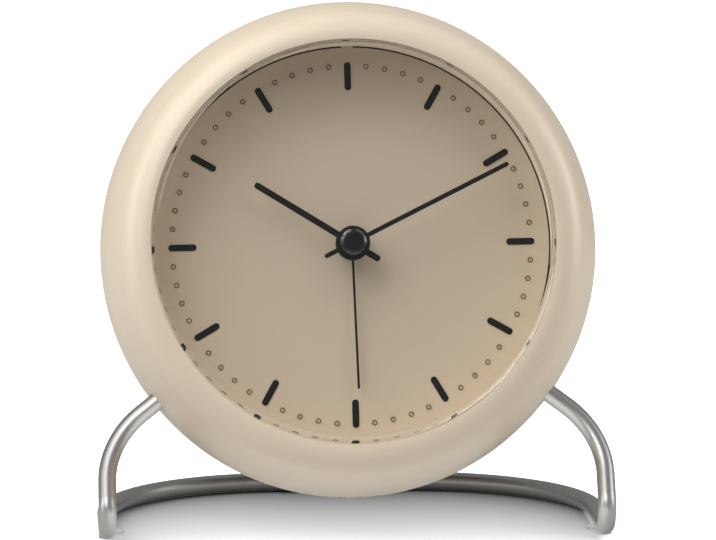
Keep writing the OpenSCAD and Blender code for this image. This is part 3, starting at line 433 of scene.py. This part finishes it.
def rounded_path(corners, bends, step_deg=3.0, step_len=2.0, least_steps=4):
    """Points along a line of corners whose turns are arcs with the given radii."""
    corners = [Vector(c) for c in corners]
    points = []
    last = corners[0]
    for i, corner in enumerate(corners):
        if i in (0, len(corners) - 1):
            arc = [corner]
        else:
            go = (corner - corners[i - 1]).normalized()
            leave = (corners[i + 1] - corner).normalized()
            angle = go.angle(leave)
            back = bends[i] * math.tan(angle / 2)
            axis = go.cross(leave).normalized()
            out = go.cross(axis)
            centre = corner - go * back - out * bends[i]
            count = max(least_steps, round(math.degrees(angle) / step_deg))
            arc = []
            for k in range(count + 1):
                turn = angle * k / count
                arc.append(centre + (out * math.cos(turn) + go * math.sin(turn)) * bends[i])
        start = arc[0]
        gap = (start - last).length
        for k in range(1, int(gap / step_len)):
            points.append(last + (start - last) * (k / int(gap / step_len)))
        points.extend(arc if i else [corner])
        last = arc[-1]
    return points


def swept_tube(name, path, radius, sides=48):
    """Closed tube along a path, with a UV map: U runs along it in radii, V once round it."""
    rings = []
    side = None
    run = 0.0
    runs = []
    for i, p in enumerate(path):
        before = path[max(i - 1, 0)]
        after = path[min(i + 1, len(path) - 1)]
        along = (after - before).normalized()
        if side is None:
            side = along.orthogonal().normalized()
        side = (side - along * side.dot(along)).normalized()
        up = along.cross(side)
        if i:
            run += (p - before).length
        runs.append(run)
        turns = [2 * math.pi * k / sides for k in range(sides)]
        rings.append([p + (side * math.cos(t) + up * math.sin(t)) * radius for t in turns])
    points = [q for ring in rings for q in ring]
    faces = []
    for i in range(len(rings) - 1):
        for k in range(sides):
            a = i * sides + k
            b = i * sides + (k + 1) % sides
            faces.append((a, b, b + sides, a + sides))
    faces.append(tuple(reversed(range(sides))))
    faces.append(tuple((len(rings) - 1) * sides + k for k in range(sides)))
    obj = new_mesh(name, [Vector(q) * MM for q in points], faces)
    uv = obj.data.uv_layers.new(name="along")
    for face in obj.data.polygons:
        for loop in face.loop_indices:
            index = obj.data.loops[loop].vertex_index
            ring, k = divmod(index, sides)
            wrapped = 1.0 if k == 0 and face.index % sides == sides - 1 else k / sides
            uv.data[loop].uv = (runs[ring] / radius, wrapped)
    return obj


def on_case(angle, distance, z):
    """Row-frame point, before centring, at an angle from the bottom of the case."""
    x = distance * math.sin(angle)
    y = -distance * math.cos(angle)
    return Vector((
        CASE_X + x,
        y * math.sin(CASE_TILT) - z * math.cos(CASE_TILT),
        CASE_Z + y * math.cos(CASE_TILT) + z * math.sin(CASE_TILT),
    ))


def rod_corners():
    """Corner points and bend radii of the stand's rod, as in the CAD source."""
    ends, knees = [], []
    for side in (-1, 1):
        angle = side * SOCKET_ANGLE + CASE_TURN
        reach = (STAND_W / 2 - side * CASE_X) / abs(math.sin(angle))
        knees.append(on_case(angle, reach, -SOCKET_BACK))
        ends.append(on_case(angle, CASE_D / 2 - WALL - SOCKET_LEN + BORE_WALL + FIT, -SOCKET_BACK))
    feet = [Vector((s * STAND_W / 2, -FOOT_AHEAD, ROD_Z)) for s in (-1, 1)]
    loops = [Vector((s * STAND_W / 2, STAND_BACK, ROD_Z)) for s in (-1, 1)]
    corners = [ends[0], knees[0], feet[0], loops[0], loops[1], feet[1], knees[1], ends[1]]
    bends = [0, KNEE_R, FOLD_R, LOOP_R, LOOP_R, FOLD_R, KNEE_R, 0]
    shift = Vector((0, -MID_Y, 0))
    return [c + shift for c in corners], bends


def make_rod():
    """The stand's one rod, with scratches along it."""
    corners, bends = rod_corners()
    rod = swept_tube("stand_rod_smooth", rounded_path(corners, bends), ROD_D / 2)
    put(rod, rod_steel, "clock", "stand_rod", angle=60)


# Width of the rounded edge of the glass, which shows the marks of the dial a second time, and how
# far the flat inside it stands off centre towards the top, where the photograph shows less edge
GLASS_EDGE_W = 1.35
GLASS_FLAT_UP = 0.6
GLASS_FLAT_RIGHT = 0.2
GLASS_STEPS = 40
EDGE_R = OPENING_R - FIT

# The groove between the dial and its spacer, whose dark colour is painted shade, how far in from the
# edge and how wide, and the small gap and ease that keep the faces of neighbours apart
GROOVE_IN = 0.85
GROOVE_W = 0.34
TOUCH_GAP = 0.05


def make_glass():
    """Clear disc whose front edge is rounded down to its back, more widely at the foot."""
    flat_r = EDGE_R - GLASS_EDGE_W
    back = GLASS_H
    round_radii = (GLASS_EDGE_W, GLASS_T - TOUCH_GAP)
    round_edge = arc_profile((flat_r, back + TOUCH_GAP), round_radii, 0, 90, GLASS_STEPS)
    profile = [(flat_r, back), (EDGE_R, back)] + round_edge
    profile.append((flat_r - TOUCH_GAP, back + GLASS_T))
    points, faces = lathe_part(profile, GLASS_SIDES, closed=False)
    for point in points:
        share = min(1, (EDGE_R - math.hypot(point.x, point.y)) / GLASS_EDGE_W)
        point.x += GLASS_FLAT_RIGHT * share
        point.y += GLASS_FLAT_UP * share
    put(clock_piece("glass_clear", [(points, faces)]), clear, "clock", "glass")


def make_dial():
    """Painted disc with the groove at its rim, whose dark colour is painted shade, and the tab at its
    top.
    """
    groove_r = EDGE_R - GROOVE_IN + FIT
    ease = TOUCH_GAP
    profile = [
        (DIAL_HOLE_R, -DIAL_T), (DIAL_HOLE_R, 0), (groove_r - ease, 0), (groove_r, -ease),
        (groove_r, -DIAL_T / 2), (EDGE_R, -DIAL_T / 2), (EDGE_R, -DIAL_T),
    ]
    tab = slab_part(DIAL_TAB_W, groove_r - ease, EDGE_R, -DIAL_T / 2, -ease)
    dial = clock_piece("dial_painted", [lathe_part(profile), tab])
    put(dial, dial_sand, "clock", "dial_plate")
    dial.data.materials.append(groove_painted_shade)
    # Faces at the rim, outside the tab, get the painted shade of the groove
    inverse = (CLOCK @ Matrix.Scale(MM, 4)).inverted()
    for face in dial.data.polygons:
        centre = inverse @ face.center
        at_rim = math.hypot(centre.x, centre.y) > groove_r - ease / 2
        in_tab = abs(centre.x) < DIAL_TAB_W / 2 and centre.y > 0
        face.material_index = 1 if at_rim and not in_tab else 0


def make_ring():
    """Spacer between the dial and the glass."""
    inner_r = EDGE_R - GROOVE_IN + FIT + GROOVE_W
    top = GLASS_H - TOUCH_GAP
    profile = [(inner_r, 0), (EDGE_R, 0), (EDGE_R, top), (inner_r, top)]
    ring = clock_piece("dial_ring_smooth", [lathe_part(profile)])
    put(ring, ring_sand, "clock", "dial_ring")


def make_hour_hand():
    """Flat hand on a hub with a small rounded shoulder."""
    top = MINUTE_HAND_Z - 2 * FIT
    shoulder_r = 0.35
    flat_r = HOUR_HUB_R - shoulder_r
    hole_r = 0.9
    bar_edge = 0.06
    bar_top = HOUR_HAND_Z + HAND_T
    round_top = arc_profile((flat_r, top - shoulder_r), (shoulder_r, shoulder_r), 0, 90)
    hub = [(hole_r, HOUR_HAND_Z), (HOUR_HUB_R, HOUR_HAND_Z)] + round_top + [(hole_r, top)]
    bar = round_bar_part(HOUR_HAND_W, -HAND_TAIL, HOUR_LEN, HOUR_HAND_Z, bar_top, bar_edge)
    hand = clock_piece("hour_hand_smooth", [lathe_part(hub, HUB_SIDES), bar], turned=HOUR_AT)
    put(hand, hand_black, "hour", "hour_hand")


def make_cap():
    """Round button in the middle of the hands, flat on top, with a wide bevel."""
    low = MINUTE_HAND_Z + HAND_T
    cap_r = 2.9
    cap_h = 2.2
    flat_r = 2.25
    bevel_h = 0.45
    top = low + cap_h
    profile = [(cap_r, low), (cap_r, top - bevel_h), (flat_r, top)]
    cap = clock_piece("hand_cap_smooth", [lathe_part(profile, HUB_SIDES, closed=False)])
    put(cap, cap_black, "minute", "hand_cap", angle=20)


make_rod()
make_glass()
make_dial()
make_ring()
make_hour_hand()
make_cap()

for name, obj in NODES.items():
    smooth(obj)


# Stage, light and camera

# The shadow painted on the floor inside the stand's loop: how far forward it reaches, how far it goes
# on behind the rod and beside it, and how steeply it starts
SHADOW_REACH = 80.0
SHADOW_BEHIND = 10.0
SHADOW_BESIDE = 2.0
SHADOW_CURVE = 0.65
# In reflections the floor's tone is scaled by the first of these, its glow outside the loop is half
# of the first, and its glow inside the loop is scaled by the second
GLOW_MIRRORED = 0.45
RISE_MIRRORED = 1.35
# Where the light that the floor bounces starts to fall, and where it is down to half
BOUNCE_NEAR = 60.0
BOUNCE_FAR = 300.0


def stage_material(name, pale, dark, bounce, glow):
    """White ground with a shadow painted inside the loop of the stand, over its real shadow.

    pale is its tone outside the loop. Inside, the tone is a painted shadow that rises from dark at the
    rear to half of pale at the front of the shadow. bounce is the tone that lights the object. The
    glow, seen by camera, glossy and transmission rays only, makes the ground white: it is 1 outside
    the loop, and inside it rises from nothing at the rear to its own value at the front of the painted
    shadow.
    """
    mat, tree, shader, add = material(name)
    link = tree.links.new

    def sum_up(operation, first, second):
        """One step of arithmetic on numbers or sockets."""
        node = add("ShaderNodeMath", operation=operation)
        for index, value in enumerate((first, second)):
            if isinstance(value, float):
                node.inputs[index].default_value = value
            else:
                link(value, node.inputs[index])
        return node.outputs[0]

    def ramp(value, start, end, low, high):
        """The level from low to high as a length goes from start to end."""
        node = add("ShaderNodeMapRange")
        node.inputs["From Min"].default_value = start * MM
        node.inputs["From Max"].default_value = end * MM
        node.inputs["To Min"].default_value = low
        node.inputs["To Max"].default_value = high
        link(value, node.inputs["Value"])
        return node.outputs["Result"]

    coord = add("ShaderNodeTexCoord")
    place = add("ShaderNodeSeparateXYZ")
    link(coord.outputs["Object"], place.inputs[0])
    across = sum_up("ABSOLUTE", place.outputs["X"], 0.0)
    past_corner = sum_up("MAXIMUM", sum_up("SUBTRACT", across, (STAND_W / 2 - LOOP_R) * MM), 0.0)
    depth = sum_up("SUBTRACT", (LOOP_R * MM) ** 2, sum_up("POWER", past_corner, 2.0))
    arc = sum_up("SQRT", sum_up("MAXIMUM", depth, 0.0), 0.0)
    rear = sum_up("ADD", arc, (STAND_BACK - LOOP_R - MID_Y) * MM)
    ahead = sum_up("SUBTRACT", rear, place.outputs["Y"])
    in_depth = ramp(ahead, -SHADOW_BEHIND, -SHADOW_BEHIND / 2, 0.0, 1.0)
    in_width = ramp(across, STAND_W / 2 - SHADOW_BESIDE, STAND_W / 2 + SHADOW_BESIDE, 1.0, 0.0)
    inside = sum_up("MULTIPLY", in_depth, in_width)

    def mixed(outside, within):
        """One value outside the loop, and the other inside it."""
        step = sum_up("SUBTRACT", within, outside)
        return sum_up("ADD", sum_up("MULTIPLY", step, inside), outside)

    def instead(ray, value, other):
        """The other value for one kind of ray."""
        change = sum_up("SUBTRACT", other, value)
        return sum_up("ADD", sum_up("MULTIPLY", change, path.outputs[ray]), value)

    path = add("ShaderNodeLightPath")
    # Painted shadow: the tone is darkest at the rear of the loop and lightens towards its front
    tone = mixed(pale, ramp(ahead, 0.0, SHADOW_REACH, dark, pale / 2))
    tone = instead("Is Glossy Ray", tone, sum_up("MULTIPLY", tone, GLOW_MIRRORED))
    reach = add("ShaderNodeVectorMath", operation="LENGTH")
    link(coord.outputs["Object"], reach.inputs[0])
    bounced = ramp(reach.outputs["Value"], BOUNCE_NEAR, BOUNCE_FAR, bounce, bounce / 2)
    link(instead("Is Diffuse Ray", tone, bounced), shader.inputs["Base Color"])
    shader.inputs["Roughness"].default_value = 0.9
    shader.inputs["Specular IOR Level"].default_value = 0.0
    seen = sum_up("MAXIMUM", path.outputs["Is Camera Ray"], path.outputs["Is Transmission Ray"])
    seen = sum_up("MAXIMUM", seen, path.outputs["Is Glossy Ray"])
    # The glow also fades out towards the rear of the loop, so that the painted shadow shows there
    rise = sum_up("POWER", ramp(ahead, 0.0, SHADOW_REACH, 0.0, 1.0), SHADOW_CURVE)
    rise = sum_up("MULTIPLY", rise, glow)
    rise_mirrored = sum_up("MULTIPLY", rise, RISE_MIRRORED)
    strength = instead("Is Glossy Ray", mixed(1.0, rise), mixed(GLOW_MIRRORED / 2, rise_mirrored))
    shader.inputs["Emission Color"].default_value = (1, 1, 1, 1)
    link(sum_up("MULTIPLY", strength, seen), shader.inputs["Emission Strength"])
    return mat


# The lamps' distance from the clock, and the height at which they aim
LAMP_REACH = 1000.0
LAMP_AIM_Z = 60.0


def floor():
    """Square ground under the clock, wider than any view shows."""
    half = 3000.0
    corners = ((-half, -half), (half, -half), (half, half), (-half, half))
    obj = new_mesh("floor", [Vector((x, y, 0)) * MM for x, y in corners], [(0, 1, 2, 3)])
    paint(obj, stage_material("floor_white", pale=0.8, dark=0.13, bounce=0.7, glow=0.83))


def lamp(name, azimuth, height, power, size=600.0, mirrored=False):
    """Square lamp facing the clock, at degrees to the right of the front and above the floor.

    Its power is in watts and its size in millimetres. A mirrored lamp shows in reflections, and
    the others light the surfaces. Rays through the glass meet both kinds.
    """
    across = math.radians(azimuth)
    rise = math.radians(height)
    ray = Vector((
        math.cos(rise) * math.sin(across),
        -math.cos(rise) * math.cos(across),
        math.sin(rise),
    ))
    data = bpy.data.lights.new(name, "AREA")
    data.shape = "SQUARE"
    data.size = size * MM
    data.energy = power
    obj = bpy.data.objects.new(name, data)
    obj.visible_diffuse = not mirrored
    obj.visible_glossy = mirrored
    obj.location = (Vector((0, 0, LAMP_AIM_Z)) + ray * LAMP_REACH) * MM
    obj.rotation_euler = (-ray).to_track_quat("-Z", "Y").to_euler()
    bpy.context.scene.collection.objects.link(obj)


def world(light, mirrored, through):
    """White to the camera, a faint grey as light, and plain greys in reflections and through glass."""
    scene_world = bpy.data.worlds.new("studio")
    bpy.context.scene.world = scene_world
    scene_world.use_nodes = True
    tree = scene_world.node_tree
    ground = tree.nodes["Background"]
    path = tree.nodes.new("ShaderNodeLightPath")
    levels = {"Is Glossy Ray": mirrored, "Is Transmission Ray": through, "Is Camera Ray": 1.0}
    last = None
    for ray, level in levels.items():
        step = tree.nodes.new("ShaderNodeMix")
        step.data_type = "FLOAT"
        step.inputs["A"].default_value = light
        step.inputs["B"].default_value = level
        if last is not None:
            tree.links.new(last.outputs["Result"], step.inputs["A"])
        tree.links.new(path.outputs[ray], step.inputs["Factor"])
        last = step
    ground.inputs["Color"].default_value = (1, 1, 1, 1)
    tree.links.new(last.outputs["Result"], ground.inputs["Strength"])


def camera():
    """Camera of the photograph, turned to the right by its yaw and down by its pitch."""
    data = bpy.data.cameras.new("camera")
    obj = bpy.data.objects.new("camera", data)
    bpy.context.scene.collection.objects.link(obj)
    forward = Vector((
        math.sin(CAMERA_YAW) * math.cos(CAMERA_PITCH),
        math.cos(CAMERA_YAW) * math.cos(CAMERA_PITCH),
        -math.sin(CAMERA_PITCH),
    ))
    right = Vector((math.cos(CAMERA_YAW), -math.sin(CAMERA_YAW), 0))
    up = right.cross(forward)
    right_rolled = right * math.cos(CAMERA_ROLL) + up * math.sin(CAMERA_ROLL)
    up_rolled = -right * math.sin(CAMERA_ROLL) + up * math.cos(CAMERA_ROLL)
    place = Matrix.Identity(4)
    for row in range(3):
        place[row][0] = right_rolled[row]
        place[row][1] = up_rolled[row]
        place[row][2] = -forward[row]
        place[row][3] = CAMERA_AT[row] * MM
    obj.matrix_world = place
    data.sensor_width = SENSOR_MM
    data.lens = FOCAL_PX * SENSOR_MM / PHOTO_W_PX
    data.clip_start = CLIP_NEAR * MM
    data.clip_end = CLIP_FAR * MM
    bpy.context.scene.camera = obj


floor()
world(light=0.01, mirrored=0.28, through=0.05)
lamp("high_left", -60, 62, 6.0)
lamp("high_right", 50, 62, 2.5)
lamp("side_left", -80, 36, 4.7)
lamp("front_left", -40, 36, 2.8)
lamp("side_right", 55, 36, 1.5)
lamp("low_left", -88, 12, 1.4)
lamp("low_right", 90, 12, 5.6)
lamp("lip_sheen", -24, 34, 2.7, size=500.0, mirrored=True)
lamp("top_sheen", -56, 52, 1.9, size=700.0, mirrored=True)
lamp("band_left", -72, 16, 1.8, size=500.0, mirrored=True)
lamp("band_right", 80, 20, 2.3, size=600.0, mirrored=True)
camera()

view = bpy.context.scene.view_settings
view.view_transform = "Standard"
